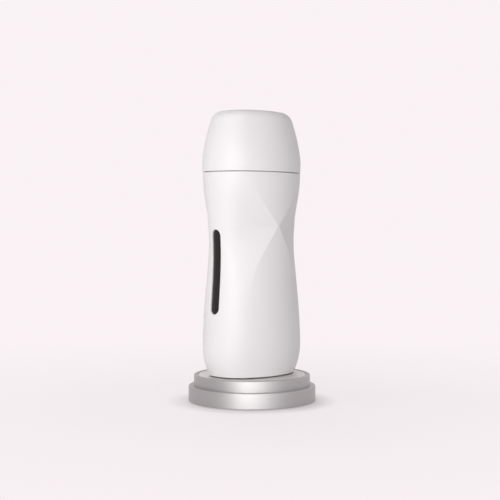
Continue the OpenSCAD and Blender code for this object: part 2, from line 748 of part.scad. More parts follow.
switch_y = control_y + board_t;
switch_t = 3.1;
flange_h = 1.2;
button_wall = half_d(button_z) - shell_wall;       // inside of the back wall at the button
flange_y = button_wall - 0.55 - flange_h;
button_face = half_d(button_z) + button_proud;
plunger_dia = 3.2;
plunger_root = switch_y + 0.4 + button_travel;

module switch_body() color("#2a2a2c") on_stand() difference() {
    translate([-4, switch_y, button_z - 4]) cube([8, switch_t, 8]);
    out_back(switch_y + 0.3, button_z) cylinder(h = switch_t, d = plunger_dia + 0.3);
}

module switch_plunger() color("#d8d6d2") on_stand() out_back(plunger_root, button_z)
    cylinder(h = flange_y - plunger_root, d = plunger_dia);

module power_button() color("#dddbde") on_stand() {
    out_back(flange_y, button_z) {
        cylinder(h = flange_h, d = button_dia + 2.2);
        cylinder(h = button_face - flange_y - 0.6, d = button_dia);
        translate([0, 0, button_face - flange_y - 0.6])
            cylinder(h = 0.6, d1 = button_dia, d2 = button_dia - 1);
    }
}

lamp_front = half_d(lamp_z) - 0.35;
led_len = 4.2;

module indicator_led() color("#d84a3a") on_stand() out_back(switch_y, lamp_z) {
    cylinder(h = 1, d = 3.4, $fn = 48);
    cylinder(h = led_len - 1.4, d = 2.8, $fn = 48);
    translate([0, 0, led_len - 1.4]) sphere(d = 2.8, $fn = 48);
}

module indicator_lens() color("#e8d9d6", 0.9) on_stand() out_back(switch_y + led_len + 0.3, lamp_z)
    cylinder(h = lamp_front - switch_y - led_len - 0.3, d = lamp_dia);

// ---- Internal wiring ---------------------------------------------------------------------

lead_dia = 1.4;
tail_y = inlet_back - 2.4;
block_top = board_z + board_t + 8;

module supply_leads() color("#8a4a30") on_stand() for (s = [-1, 1])
    wire([[s * pin_pitch / 2, tail_y, inlet_z], [s * pin_pitch / 2, tail_y - 1.6, inlet_z],
          [block_x + s * 2.5, block_y, block_top + 4.5], [block_x + s * 2.5, block_y, block_top - 3]],
         lead_dia);

lead_x = plate_w / 2 + lead_dia;      // just outside the plates
lead_y = cradle_r + 0.95;             // just outside the cradle
plate_foot = chamber_r + plate_t * 0.7;
tab_x = plate_w / 2 - lead_dia / 2;   // where a lead joins its plate

module heater_leads() color("#c7462f") on_stand() for (s = [-1, 1])
    wire([[lead_x, s * 3, board_z + board_t], [lead_x, s * 3, cradle_z - 9.5],
          [lead_x, s * lead_y, cradle_z - cradle_t], [lead_x, s * lead_y, plate_z0 - 1.5 * lead_dia],
          [tab_x, s * plate_foot, plate_z0 - lead_dia / 2], [tab_x, s * plate_foot, plate_z0]], lead_dia);

module sensor_leads() color("#e6e2d6") on_stand() {
    tab_y = chamber_r + thermostat_t + 1.2;
    clear_y = chamber_r + plate_t + clip_t + 1.2;
    edge_y = control_y + board_t / 2;
    wire([[3.2, tab_y, thermostat_z], [3.2, tab_y + 0.5, thermostat_z], [3.2, tab_y + 0.6, thermostat_z - 1.2],
          [3.2, clear_y + 0.6, thermostat_z - 14], [3.2, clear_y, control_top + 3],
          [3.2, edge_y, control_top + 1.5], [3.2, edge_y, control_top]], 1.2);
}

cable_up = 3.3;                       // from the control board's foot up to its cable
cable_z = control_z + cable_up;

module control_leads() color("#3c5fa8") on_stand() for (s = [-1, 1])
    wire([[4 + s * 1.5, board_y + 2, board_z + board_t], [4 + s * 1.5, board_y + 2, cable_z - 2],
          [4.5 + s * 1.2, control_y - 2, cable_z + s], [4.5 + s * 1.2, control_y, cable_z + s]], 1);

// ---- Cartridge ------------------------------------------------------------------------------

BOTTLE = "#e9dfd2";
wax_z = bottle_z + bottle_floor;
wax_h = bottle_top - spigot_h - wax_air - wax_z;
frame_base = 2.6;
roller_r = roller_dia / 2;
roller_z = bottle_top + frame_base + roller_gap + roller_r - 1.4;
cheek_in = roller_len / 2 + roller_gap;
cheek_out = cheek_in + cheek_t;
fence_y = roller_r + roller_gap;
fence_t = 1.6;
cheek_r = fence_y * 0.62;

module cartridge_bottle() color(BOTTLE, 0.8) on_stand() difference() {
    translate([0, 0, bottle_z]) footed_stadium(bottle_r, end_c, bottle_h, bottle_edge);
    translate([0, 0, wax_z]) linear_extrude(bottle_h) stadium(bottle_r - bottle_wall, end_c);
}

module wax_fill() color("#c98a3c") on_stand() translate([0, 0, wax_z])
    linear_extrude(wax_h) stadium(bottle_r - bottle_wall - 0.02, end_c);

module roller_frame() color("#f0eeea") on_stand() difference() {
    union() {
        translate([0, 0, bottle_top - spigot_h])
            stadium_tube(bottle_r - bottle_wall - 0.05, 1.6, end_c, spigot_h + eps);
        translate([0, 0, bottle_top]) linear_extrude(frame_base) stadium(bottle_r, end_c);
        // walls in front of and behind the roller, and a cheek at each end of it
        intersection() {
            union() {
                translate([-cheek_out, -fence_y - fence_t, bottle_top])
                    cube([2 * cheek_out, 2 * (fence_y + fence_t), roller_z - bottle_top - 2]);
                for (s = [-1, 1]) translate([s * (cheek_in + cheek_t / 2) - cheek_t / 2, 0, 0]) {
                    translate([0, -cheek_r, bottle_top]) cube([cheek_t, 2 * cheek_r, roller_z - bottle_top]);
                    translate([0, 0, roller_z]) rotate([0, 90, 0]) cylinder(h = cheek_t, r = cheek_r);
                }
            }
            translate([0, 0, bottle_top]) linear_extrude(2 * roller_dia) stadium(bottle_r, end_c);
        }
    }
    // trough under the roller, and the mouth that lets the wax up to it
    translate([-cheek_in, 0, roller_z]) rotate([0, 90, 0]) cylinder(h = 2 * cheek_in, r = fence_y);
    translate([-cheek_in + 2, -3.5, bottle_top - 1]) cube([2 * cheek_in - 4, 7, frame_base + 2]);
    translate([-cheek_out - 1, 0, roller_z]) rotate([0, 90, 0]) cylinder(h = 2 * cheek_out + 2, d = axle_dia);
}

module roller_axle() color("#d3d5d8") on_stand() translate([-cheek_out, 0, roller_z])
    rotate([0, 90, 0]) cylinder(h = 2 * cheek_out, d = axle_dia);

module roller() color("#f7f5f1") on_stand() translate([-roller_len / 2, 0, roller_z])
    rotate([0, 90, 0]) difference() {
        union() {
            cylinder(h = roller_len, r = roller_r - 0.5);
            translate([0, 0, 0.5]) cylinder(h = roller_len - 1, r = roller_r);
        }
        translate([0, 0, -1]) cylinder(h = roller_len + 2, d = axle_dia + 2 * roller_fit);
    }

// ---- Cap -------------------------------------------------------------------------------------

// Hollow pod: the rings run from the middle of its ceiling down the inside, then up the outside
module cap_shell() color(BODY_WHITE) on_stand() {
    edge = heater_h - cap_corner;
    outer = concat(steps(cap_z, edge, 12),
                   [for (a = [18 : 18 : 90]) edge + cap_corner * sin(a)]);
    skin(concat([for (z = steps(cavity_z, cap_z, 6)) ring(z, cap_wall)], [for (z = outer) ring(z)]));
}

module cap_stop_ring() color("#dedce0") on_stand() translate([0, 0, neck_z])
    linear_extrude(stop_h) difference() {
        polygon(section(neck_z + stop_h, cap_wall + fit));
        polygon(section(neck_z + stop_h, cap_wall + 5));
    }

stand_lower_tier();
stand_upper_tier();
stand_top_pad();
stand_base_plate();
stand_feet();
stand_screws();
outer_shell();
window_lens();
window_gasket();
base_cover();
base_feet();
base_screws();
top_collar();
chamber_cradle();
heating_chamber();
heater_plate_front();
heater_plate_back();
heater_clips();
thermostat();
thermal_fuse();
mains_inlet();
inlet_pins();
main_board();
board_screws();
terminal_block();
film_capacitor();
drop_resistor();
control_board();
switch_body();
indicator_led();
indicator_lens();
supply_leads();
heater_leads();
sensor_leads();
control_leads();
power_button();
switch_plunger();
cartridge_bottle();
wax_fill();
roller_frame();
roller_axle();
roller();
cap_shell();
cap_stop_ring();
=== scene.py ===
# %% [markdown]
# # A roll on wax heater on its round stand
#
# The heater is a white hourglass of glossy plastic with a pull-off cap. Its two broad faces are
# creased into a large X, a dark window on one narrow side shows the wax, and it stands on a stand
# of turned, satin silver metal. The construction, every fit and every joint come from the packed
# frame. This lesson gives the parts their smooth skins, their finishes, the light and the camera.

# %% Load the frame
import math

import bmesh
import bpy
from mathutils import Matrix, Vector


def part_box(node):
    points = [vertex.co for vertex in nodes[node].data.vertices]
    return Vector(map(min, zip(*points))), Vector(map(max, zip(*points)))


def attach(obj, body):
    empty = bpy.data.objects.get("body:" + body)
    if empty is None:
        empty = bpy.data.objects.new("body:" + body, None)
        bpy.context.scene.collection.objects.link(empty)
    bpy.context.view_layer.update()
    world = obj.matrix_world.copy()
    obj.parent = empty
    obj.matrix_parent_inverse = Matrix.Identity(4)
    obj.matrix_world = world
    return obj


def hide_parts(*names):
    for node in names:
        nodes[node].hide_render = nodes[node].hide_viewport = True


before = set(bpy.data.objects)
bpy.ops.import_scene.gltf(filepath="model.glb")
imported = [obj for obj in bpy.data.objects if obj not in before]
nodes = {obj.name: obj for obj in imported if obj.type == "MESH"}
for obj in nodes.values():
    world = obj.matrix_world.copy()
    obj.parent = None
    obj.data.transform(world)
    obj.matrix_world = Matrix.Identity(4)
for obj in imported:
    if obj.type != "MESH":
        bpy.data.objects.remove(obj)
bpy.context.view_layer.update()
MM = 0.001
WELD, SLIVER = 1e-7, 1e-6  # in metres: how close points are joined, how thin a face is dropped

# %% [markdown]
# ## The form of the body
#
# The body is one smooth form from the bottom edge to the top of the cap. Seen from above, each
# quarter of it is a gently bowed broad face as far as the crease, and from there a scoop that
# turns round the corner to the narrow side. The width follows a smooth line up the side. Working
# with the same few sizes as the construction keeps the skin exactly on the solid parts, so the
# lengths here are in millimetres, above the heater's feet, until a point is placed.

# %% Sizes of the body
HEATER_H, FOOT_W, HIP_W, WAIST_W, SHOULDER_W, HIP_D = 178, 63.2, 73.2, 67.2, 74, 53.3
HIP_Z, WAIST_Z, SHOULDER_Z, SEAM_Z, BOTTOM_Z = 22, 80, 144, 136.5, 0.8
WALL, FACE_BOW, CAP_TAPER, CAP_CORNER, SEAM_GAP = 2, 0.5, 8.6, 5.7, 0.5
CROSS_Z, CREASE_UP, CREASE_DOWN, CROSS_HALF = 100.7, 0.875, 0.69, 0.25
CREASE_FOLD, FADE_UP, FADE_DOWN = 0.36, 36, 62
FOOT_CURVE, CAP_CURVE = 2.4, 1.5  # how late the side turns in, towards the foot and the top
CREASE_REACH = 0.66  # how far out a crease may run, as a share of the half width

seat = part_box("outer_shell")[0][2] / MM - BOTTOM_Z  # top of the stand's pad
print("the heater stands", round(seat, 2), "mm above the floor")


# %% Lines of the body
def ease(t):
    t = min(max(t, 0), 1)
    return t * t * (3 - 2 * t)


def half_width(z):
    if z < HIP_Z:
        w = HIP_W / 2 - (HIP_W - FOOT_W) / 2 * ((HIP_Z - z) / (HIP_Z - BOTTOM_Z)) ** FOOT_CURVE
    elif z < WAIST_Z:
        w = (HIP_W + (WAIST_W - HIP_W) * ease((z - HIP_Z) / (WAIST_Z - HIP_Z))) / 2
    elif z < SHOULDER_Z:
        w = (WAIST_W + (SHOULDER_W - WAIST_W) * ease((z - WAIST_Z) / (SHOULDER_Z - WAIST_Z))) / 2
    else:
        w = SHOULDER_W / 2 - CAP_TAPER * ((z - SHOULDER_Z) / (HEATER_H - SHOULDER_Z)) ** CAP_CURVE
    up = min(z - (HEATER_H - CAP_CORNER), CAP_CORNER)
    return w - (CAP_CORNER - math.sqrt(CAP_CORNER**2 - up * up) if up > 0 else 0)


def scoop(z):
    return ease(1 - abs(z - CROSS_Z) / (FADE_UP if z > CROSS_Z else FADE_DOWN))


def crease_x(z):
    run = CROSS_HALF + abs(z - CROSS_Z) * (CREASE_UP if z > CROSS_Z else CREASE_DOWN)
    return run / (1 + (run / (CREASE_REACH * half_width(z))) ** 4) ** 0.25


# %% One quarter of the section
FACE_COLUMNS, CORNER_COLUMNS, CREASE_BAND = 18, 38, 0.35


def quarter(z):
    """Points from the middle of a broad face, past the crease, to the narrow side."""
    w = half_width(z)
    d = w * HIP_D / HIP_W
    xc = crease_x(z)
    bow = FACE_BOW * d / (w * w)
    close = min(CREASE_BAND, xc / 3)  # a column close to the crease keeps it crisp
    xs = [(xc - close) * i / (FACE_COLUMNS - 1) for i in range(FACE_COLUMNS)]
    points = [(x, d - bow * x * x) for x in xs]
    yc = d - bow * xc * xc
    yb = yc - (2 * bow * xc + CREASE_FOLD * scoop(z)) * (w - xc)
    first = close / (2 * (1 + scoop(z)) * max(w - xc, 1))
    for i in range(CORNER_COLUMNS + 1):
        t = 0 if i == 0 else first + (1 - first) * (i - 1) / (CORNER_COLUMNS - 1)
        p, q, r = (1 - t) ** 2, 2 * (1 + scoop(z)) * t * (1 - t), t * t
        points.append(((p * xc + (q + r) * w) / (p + q + r), (p * yc + q * yb) / (p + q + r)))
    return points


# %% The whole section, and its skin at any depth
AROUND = 4 * (FACE_COLUMNS + CORNER_COLUMNS)


def placed(x, y, z):
    return Vector((x, y, z + seat)) * MM


def ring(z, inset=0.0):
    """The section at height z, moved inwards, anticlockwise from the +X side."""
    q = quarter(z)
    flat = q[:0:-1] + [(-x, y) for x, y in q[:-1]] + [(-x, -y) for x, y in q[:0:-1]]
    flat += [(x, -y) for x, y in q[:-1]]
    moved = []
    for i, (x, y) in enumerate(flat):
        (ax, ay), (bx, by) = flat[i - 1], flat[(i + 1) % AROUND]
        length = math.hypot(bx - ax, by - ay)
        moved.append(placed(x - inset * (by - ay) / length, y + inset * (bx - ax) / length, z))
    return moved


def side_x(y, z):
    """How far the narrow side stands out at depth y."""
    q = quarter(z)
    for (x0, y0), (x1, y1) in zip(q, q[1:]):
        if y1 <= abs(y) <= y0 and y0 > y1:
            return x0 + (x1 - x0) * (y0 - abs(y)) / (y0 - y1)
    return q[-1][0]


def face_y(x, z):
    """How far the broad face stands out at x."""
    q = quarter(z)
    for (x0, y0), (x1, y1) in zip(q, q[1:]):
        if x0 <= abs(x) <= x1 and x1 > x0:
            return y0 + (y1 - y0) * (abs(x) - x0) / (x1 - x0)
    return q[0][1]


print("section at the crossing:", [round(v, 2) for v in (side_x(0, CROSS_Z), face_y(0, CROSS_Z))])

# %% [markdown]
# ## Working by hand, from a script
#
# Each piece starts as a primitive and is shaped in edit mode. These helpers do what hands do over
# and over: go in and out of edit mode with one object active, extrude a selected loop of edges and
# put the new loop in its place, apply a modifier, and shade the result.


# %% Helpers for edit mode
def start_piece(name):
    piece = bpy.context.object
    piece.name = piece.data.name = name
    return piece


def clear_selection():
    bpy.ops.object.select_all(action="DESELECT")


def enter(piece, mode="EDGE"):
    clear_selection()
    piece.select_set(True)
    bpy.context.view_layer.objects.active = piece
    bpy.ops.object.mode_set(mode="EDIT")
    bpy.ops.mesh.select_mode(type=mode)
    bpy.ops.mesh.select_all(action="DESELECT")
    return bmesh.from_edit_mesh(piece.data)


def leave(piece):
    bmesh.update_edit_mesh(piece.data)
    bpy.ops.object.mode_set(mode="OBJECT")


def grow(piece, move):
    """Extrudes the selected loop and puts each new vertex where move() says."""
    bpy.ops.mesh.extrude_edges_move()
    mesh = bmesh.from_edit_mesh(piece.data)
    for v in mesh.verts:
        if v.select:
            v.co = move(v.co)
    bmesh.update_edit_mesh(piece.data)


def apply_modifier(piece, kind, **settings):
    clear_selection()
    piece.select_set(True)
    bpy.context.view_layer.objects.active = piece
    modifier = piece.modifiers.new(kind.lower(), kind)
    for key, value in settings.items():
        setattr(modifier, key, value)
    bpy.ops.object.modifier_apply(modifier=modifier.name)


def shade(piece, degrees=35):
    clear_selection()
    piece.select_set(True)
    bpy.context.view_layer.objects.active = piece
    bpy.ops.object.shade_smooth_by_angle(angle=math.radians(degrees))


# %% [markdown]
# ## The housing
#
# The housing is one moulded shell, open at the foot and at the neck. A flat grid is the simplest
# start: its columns are wrapped round the body and its rows are stacked up it. A column lies on
# each crease with a close one on either side, which leaves the crease crisp where the scoop is
# deep and lets it fade out where the scoop does.


# %% A sheet wrapped round the body
def steps(a, b, n):
    return [a + (b - a) * i / n for i in range(n + 1)]


def wrapped_sheet(name, heights):
    rows = len(heights) - 1
    clear_selection()
    bpy.ops.mesh.primitive_grid_add(x_subdivisions=AROUND, y_subdivisions=rows, size=1)
    sheet = start_piece(name)
    rings = [ring(z) for z in heights]
    column = sheet.data.attributes.new("column", "INT", "POINT")
    for v in sheet.data.vertices:
        across, up = round((v.co.x + 0.5) * AROUND) % AROUND, round((v.co.y + 0.5) * rows)
        column.data[v.index].value = across
        v.co = rings[up][across]
    enter(sheet)
    bpy.ops.mesh.select_all(action="SELECT")
    bpy.ops.mesh.remove_doubles(threshold=WELD)
    leave(sheet)
    return sheet


FOOT_ROWS, LOWER_ROWS, UPPER_ROWS = 27, 84, 44
housing_rows = steps(BOTTOM_Z, HIP_Z, FOOT_ROWS) + steps(HIP_Z, CROSS_Z, LOWER_ROWS)[1:]
housing_rows += steps(CROSS_Z, SEAM_Z, UPPER_ROWS)[1:]
housing = wrapped_sheet("housing_skin", housing_rows)
print("housing sheet:", len(housing.data.polygons), "faces")

# %% [markdown]
# ## Openings in the housing
#
# The wax window, the mains inlet, the button and the lamp each have a hole with round ends. A
# boolean would leave ragged faces that show on gloss. Here a block of faces is deleted instead,
# and the edge of the block is extruded inwards in a few rings until it lies on the outline of the
# hole. Each ring is put back on the skin, so the surface round the hole stays smooth.


# %% Cut a hole with round ends
RING_SHARES = (0.35, 0.5, 1.0)  # how much of the way that is left each ring goes


def nearest_on_port(u, v, half_u, half_v, radius):
    mu, mv = min(max(u, -half_u), half_u), min(max(v, -half_v), half_v)
    reach = math.hypot(u - mu, v - mv)
    return mu + (u - mu) * radius / reach, mv + (v - mv) * radius / reach


def open_port(piece, read, put, middle, half, radius, columns, rows):
    """Opens one hole, in a block of faces so many columns each way and between two heights.

    read() gives a point's place on its side in mm, and put() the point on the skin there.
    """
    mesh = enter(piece, "FACE")
    column = mesh.verts.layers.int["column"]

    def in_block(part):
        return all(abs(v[column] - columns[0]) <= columns[1]
                   and rows[0] < read(v.co)[1] < rows[1] for v in part.verts)

    for face in mesh.faces:
        face.select_set(in_block(face))
    bpy.ops.mesh.delete(type="FACE")
    bpy.ops.mesh.select_mode(type="EDGE")
    mesh = bmesh.from_edit_mesh(piece.data)
    column = mesh.verts.layers.int["column"]
    for edge in mesh.edges:
        edge.select_set(edge.is_boundary and in_block(edge))

    def closer(share):
        def move(co):
            u, v = read(co)
            eu, ev = nearest_on_port(u - middle[0], v - middle[1], *half, radius)
            return put(u + (eu + middle[0] - u) * share, v + (ev + middle[1] - v) * share)
        return move

    for share in RING_SHARES:
        grow(piece, closer(share))
    bpy.ops.mesh.select_all(action="SELECT")
    bpy.ops.mesh.normals_make_consistent(inside=False)
    leave(piece)


def read_side(co):
    return co.y / MM, co.z / MM - seat


def read_back(co):
    return co.x / MM, co.z / MM - seat


def put_side(y, z):
    return placed(-side_x(y, z), y, z)


def put_back(x, z):
    return placed(x, face_y(x, z), z)


WINDOW_LEN, WINDOW_W, WINDOW_Z = 56, 8.3, 70.4
INLET_Z, INLET_R, INLET_HALF = 15.5, 5.5, 3.3
BUTTON_Z, BUTTON_R, LAMP_Z, LAMP_R = 27.6, 4.65, 36, 1.65
window_half = (0, (WINDOW_LEN - WINDOW_W) / 2)

left_column, back_column = AROUND // 2, AROUND // 4
open_port(housing, read_side, put_side, (0, WINDOW_Z), window_half, WINDOW_W / 2,
          (left_column, 9), (39.3, 101.5))
for z, half, radius, columns, rows in (
        (INLET_Z, (INLET_HALF, 0), INLET_R, 8, (8.3, 22.1)),
        (BUTTON_Z, (0, 0), BUTTON_R, 5, (21.9, 33.5)),
        (LAMP_Z, (0, 0), LAMP_R, 2, (33, 39.2))):
    open_port(housing, read_back, put_back, (0, z), half, radius, (back_column, columns), rows)
print("housing with its openings:", len(housing.data.polygons), "faces")


# %% Give the housing its wall and soft rims
RIM_ROUND, RIM_ANGLE, NEAR_RIM = 0.3, 60, 0.6


def walled(piece, rims):
    """Thickens the skin inwards, levels its rims at these heights, and rounds all sharp rims."""
    apply_modifier(piece, "SOLIDIFY", thickness=WALL * MM, offset=-1, use_even_offset=False)
    for v in piece.data.vertices:
        for z in rims:
            if abs(v.co.z / MM - seat - z) < NEAR_RIM:
                v.co.z = (z + seat) * MM
    apply_modifier(piece, "BEVEL", width=RIM_ROUND * MM, segments=3, limit_method="ANGLE",
                   angle_limit=math.radians(RIM_ANGLE), use_clamp_overlap=False)
    enter(piece)
    bpy.ops.mesh.select_all(action="SELECT")
    bpy.ops.mesh.dissolve_degenerate(threshold=SLIVER)
    leave(piece)
    shade(piece)


walled(housing, (BOTTOM_Z, SEAM_Z))
print("housing finished:", len(housing.data.polygons), "faces")

# %% [markdown]
# ## The cap
#
# The cap carries the body's lines on up, so it starts as the same wrapped sheet, from the seam to
# the round of its top edge. The open loop left at the top is then extruded and drawn together a
# few times, a little higher each time, which gives the top its faint crown.

# %% Cap
CAP_ROWS, EDGE_ROWS = 44, 12
CROWN_STEPS = ((0.93, 0.05), (0.9, 0.08), (0.86, 0.09), (0.8, 0.07), (0.7, 0.05), (0.5, 0.02),
               (0.4, 0))  # each loop's share of the last one's size, and its rise in mm
cap_edge = HEATER_H - CAP_CORNER
cap_rows = steps(SEAM_Z + SEAM_GAP, cap_edge, CAP_ROWS)
cap_rows += [cap_edge + CAP_CORNER * math.sin(math.radians(a)) for a in steps(0, 90, EDGE_ROWS)[1:]]
cap = wrapped_sheet("cap_skin", cap_rows)
mesh = enter(cap)
cap_top = (HEATER_H + seat) * MM
for edge in mesh.edges:
    edge.select_set(edge.is_boundary and edge.verts[0].co.z > cap_top - 0.5 * MM)
for draw, rise in CROWN_STEPS:
    grow(cap, lambda co: Vector((co.x * draw, co.y * draw, co.z + rise * MM)))
bpy.ops.mesh.merge(type="CENTER")
leave(cap)
walled(cap, (SEAM_Z + SEAM_GAP,))
print("cap:", len(cap.data.polygons), "faces")

# %% [markdown]
# ## The wax window
#
# The window is a smoky clear moulding set a little below the housing. Its front follows the
# housing's curve, so it is a small grid laid on that curve. The grid's square ends are rounded by
# drawing each point in along the line from the nearest point of the window's middle line. Towards
# its edge the front falls away like a pillow, so that the gloss runs down it in soft lines.

# %% Window lens
LENS_DEPTH, LENS_GAP, LENS_CROWN, LENS_EDGE = 0.5, 0.15, 0.7, 0.12
LENS_SIDE_STEPS = (0.1, 0.7, 0.9)
lens_r = WINDOW_W / 2 - LENS_GAP
clear_selection()
bpy.ops.mesh.primitive_grid_add(x_subdivisions=14, y_subdivisions=84, size=2)
lens = start_piece("window_lens_skin")
for v in lens.data.vertices:
    u, w = v.co.x * lens_r, v.co.y * (window_half[1] + lens_r)
    end = min(max(w, -window_half[1]), window_half[1])
    reach = math.hypot(u, w - end)
    if reach > 0:
        pull = max(abs(u), abs(w - end)) / reach
        u, w = u * pull, end + (w - end) * pull
    depth = LENS_DEPTH + LENS_CROWN * (math.hypot(u, w - end) / lens_r) ** 3
    z = w + WINDOW_Z
    v.co = placed(-side_x(u, z) + depth, u, z)
mesh = enter(lens)
bpy.ops.mesh.select_all(action="SELECT")
bpy.ops.mesh.flip_normals()
for edge in mesh.edges:
    edge.select_set(edge.is_boundary)
bmesh.update_edit_mesh(lens.data)
for deeper in LENS_SIDE_STEPS:
    grow(lens, lambda co: co + Vector((deeper * MM, 0, 0)))
bpy.ops.mesh.edge_face_add()
bpy.ops.mesh.select_all(action="SELECT")
bpy.ops.mesh.normals_make_consistent(inside=False)
leave(lens)
apply_modifier(lens, "BEVEL", width=LENS_EDGE * MM, segments=2, limit_method="ANGLE",
               angle_limit=math.radians(50))
shade(lens)
print("window lens:", len(lens.data.polygons), "faces")

# %% [markdown]
# ## Turned pieces
#
# The stand's two tiers and its pad are turned, and so are the button and the lamp's window. Each
# starts as one circle. The circle is extruded, drawn in or out and lifted, once for each point of
# the piece's profile, as on a lathe, and the last loop is closed.


# %% A lathe
def arc(r, z, radius, start, end, n=5):
    angles = [math.radians(a) for a in steps(start, end, n)]
    return [(r + radius * math.cos(a), z + radius * math.sin(a)) for a in angles]


def turned(name, profile, around=192):
    """A closed solid from a profile of (radius, height) in mm, up the Z axis."""
    clear_selection()
    r, z = profile[0]
    bpy.ops.mesh.primitive_circle_add(vertices=around, radius=r * MM, fill_type="NGON",
                                      location=(0, 0, z * MM))
    piece = start_piece(name)
    bpy.ops.object.transform_apply(location=True, rotation=True, scale=True)
    enter(piece)
    bpy.ops.mesh.select_all(action="SELECT")
    for r_new, z_new in profile[1:]:
        grow(piece, lambda co: Vector((co.x * r_new / r, co.y * r_new / r, z_new * MM)))
        r, z = r_new, z_new
    bpy.ops.mesh.edge_face_add()
    bpy.ops.mesh.select_all(action="SELECT")
    bpy.ops.mesh.normals_make_consistent(inside=False)
    leave(piece)
    shade(piece)
    return piece


# %% Stand tiers and pad
RUBBER_H, LOWER_R, LOWER_H, UPPER_R, UPPER_H = 0.7, 43.15, 10.4, 39.5, 7.4
TIER_WALL, TIER_ROUND, PAD_R, PAD_T, PAD_DROP = 2.4, 0.9, 36.8, 1.4, 0.3
TIER_EASE, PAD_GAP, RIM_EASE, PAD_EASE, CORE_R = 0.3, 0.15, 0.2, 0.25, 10
lower_top = RUBBER_H + LOWER_H
stand_top = lower_top + UPPER_H
rim_r = PAD_R + PAD_GAP
pad_top = stand_top - PAD_DROP


def tier_side(radius, low, high, ease_in):
    """Profile from the foot of a tier, up its side and over its round edge."""
    return ([(radius - ease_in, low), (radius, low + ease_in)]
            + arc(radius - TIER_ROUND, high - TIER_ROUND, TIER_ROUND, 0, 90, 6))


lower_tier = turned("lower_tier_skin", [
    (LOWER_R - TIER_WALL, lower_top - TIER_WALL), (LOWER_R - TIER_WALL, RUBBER_H),
    *tier_side(LOWER_R, RUBBER_H, lower_top, TIER_EASE),
    (LOWER_R - 8, lower_top), (CORE_R, lower_top)])
upper_tier = turned("upper_tier_skin", [
    (UPPER_R - TIER_WALL, stand_top - TIER_WALL), (UPPER_R - TIER_WALL, lower_top),
    *tier_side(UPPER_R, lower_top, stand_top, 0.05),
    (rim_r + RIM_EASE, stand_top), (rim_r, stand_top - RIM_EASE),
    (rim_r, pad_top - PAD_T), (CORE_R, pad_top - PAD_T)])
pad = turned("stand_pad_skin", [
    (2 * CORE_R, pad_top - PAD_T), (PAD_R, pad_top - PAD_T),
    (PAD_R, pad_top - PAD_EASE), (PAD_R - PAD_EASE, pad_top),
    (PAD_R - 2, pad_top), (CORE_R, pad_top)])
for piece in (lower_tier, upper_tier, pad):
    print(piece.name, len(piece.data.polygons), "faces")


# %% Button and lamp window, turned and laid over to face the back
def facing_back(piece, z):
    """Turns a piece that was made up the Z axis so that it points out of the back at height z."""
    enter(piece, "VERT")
    bpy.ops.mesh.select_all(action="SELECT")
    mesh = bmesh.from_edit_mesh(piece.data)
    for v in mesh.verts:
        v.co = Vector((v.co.x, v.co.z, -v.co.y + (z + seat) * MM))
    bpy.ops.mesh.normals_make_consistent(inside=False)
    leave(piece)


FLANGE_R, FLANGE_T, KEY_R, KEY_ROUND = 5.6, 1.2, 4.5, 0.5
KEY_DISH = ((3.5, 0.05), (2.8, 0.2), (2.0, 0.31), (1.0, 0.37), (0.3, 0.38))  # radius, depth
LAMP_R_IN = 1.5
LAMP_DOME = ((LAMP_R_IN, 0.35), (1.4, 0.2), (1.1, 0.06), (0.6, 0), (0.15, 0))
low, high = (corner.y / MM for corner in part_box("power_button"))
button = turned("button_skin", [
    (FLANGE_R, low), (FLANGE_R, low + FLANGE_T), (KEY_R, low + FLANGE_T),
    *arc(KEY_R - KEY_ROUND, high - KEY_ROUND, KEY_ROUND, 0, 90, 5),
    *((r, high - depth) for r, depth in KEY_DISH)], 72)
facing_back(button, BUTTON_Z)
low, high = (corner.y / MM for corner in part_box("indicator_lens"))
lamp = turned("lamp_skin", [(LAMP_R_IN, low), *((r, high - depth) for r, depth in LAMP_DOME)], 48)
facing_back(lamp, LAMP_Z)
print("button and lamp:", len(button.data.polygons), len(lamp.data.polygons), "faces")

# %% [markdown]
# ## What each new piece stands for
#
# Each skin takes the place of the solid that it was made on, and rides on the same body, so it
# moves with the same joint.

# %% Replace and ride
for piece, node, body, slot in (
        (housing, "outer_shell", "heater", "body_white"), (cap, "cap_shell", "cap", "body_white"),
        (lens, "window_lens", "heater", "window_tint"),
        (lamp, "indicator_lens", "heater", "lamp_clear"),
        (button, "power_button", "button", "button_grey"),
        (lower_tier, "stand_lower_tier", "stand", "stand_silver"),
        (upper_tier, "stand_upper_tier", "stand", "stand_silver"),
        (pad, "stand_top_pad", "stand", "stand_pad")):
    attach(piece, body)
    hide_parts(node)

# %% [markdown]
# ## Finishes
#
# No real surface is one flat colour. Each finish starts from the same shader and gets what its
# own surface shows: how the colour drifts, how the gloss varies, and the fine relief left by the
# mould, the lathe or the drawing die. All patterns are in the piece's own space, so they stay on
# it when it moves.


# %% Helpers for finishes
def new_finish(name, color, rough, metallic=0.0, **more):
    material = bpy.data.materials.new(name)
    material.use_nodes = True
    shader = material.node_tree.nodes["Principled BSDF"]
    shader.inputs["Base Color"].default_value = (*color, 1)
    shader.inputs["Roughness"].default_value = rough
    shader.inputs["Metallic"].default_value = metallic
    for socket, value in more.items():
        shader.inputs[socket.replace("_", " ").title().replace("Ior", "IOR")].default_value = value
    return material


def add_node(material, kind, **inputs):
    node = material.node_tree.nodes.new(kind)
    for key, value in inputs.items():
        socket = node.inputs[key.replace("_", " ").title()]
        if isinstance(value, bpy.types.NodeSocket):
            material.node_tree.links.new(value, socket)
        else:
            socket.default_value = value
    return node


def grain(material, per_mm, detail=3.0, stretch=(1, 1, 1)):
    """Noise with about per_mm features in a millimetre, drawn out along an axis by stretch."""
    place = add_node(material, "ShaderNodeTexCoord").outputs["Object"]
    mapped = add_node(material, "ShaderNodeMapping", Vector=place, Scale=stretch)
    return add_node(material, "ShaderNodeTexNoise", Vector=mapped.outputs[0], Scale=per_mm * 1000,
                    Detail=detail).outputs["Fac"]


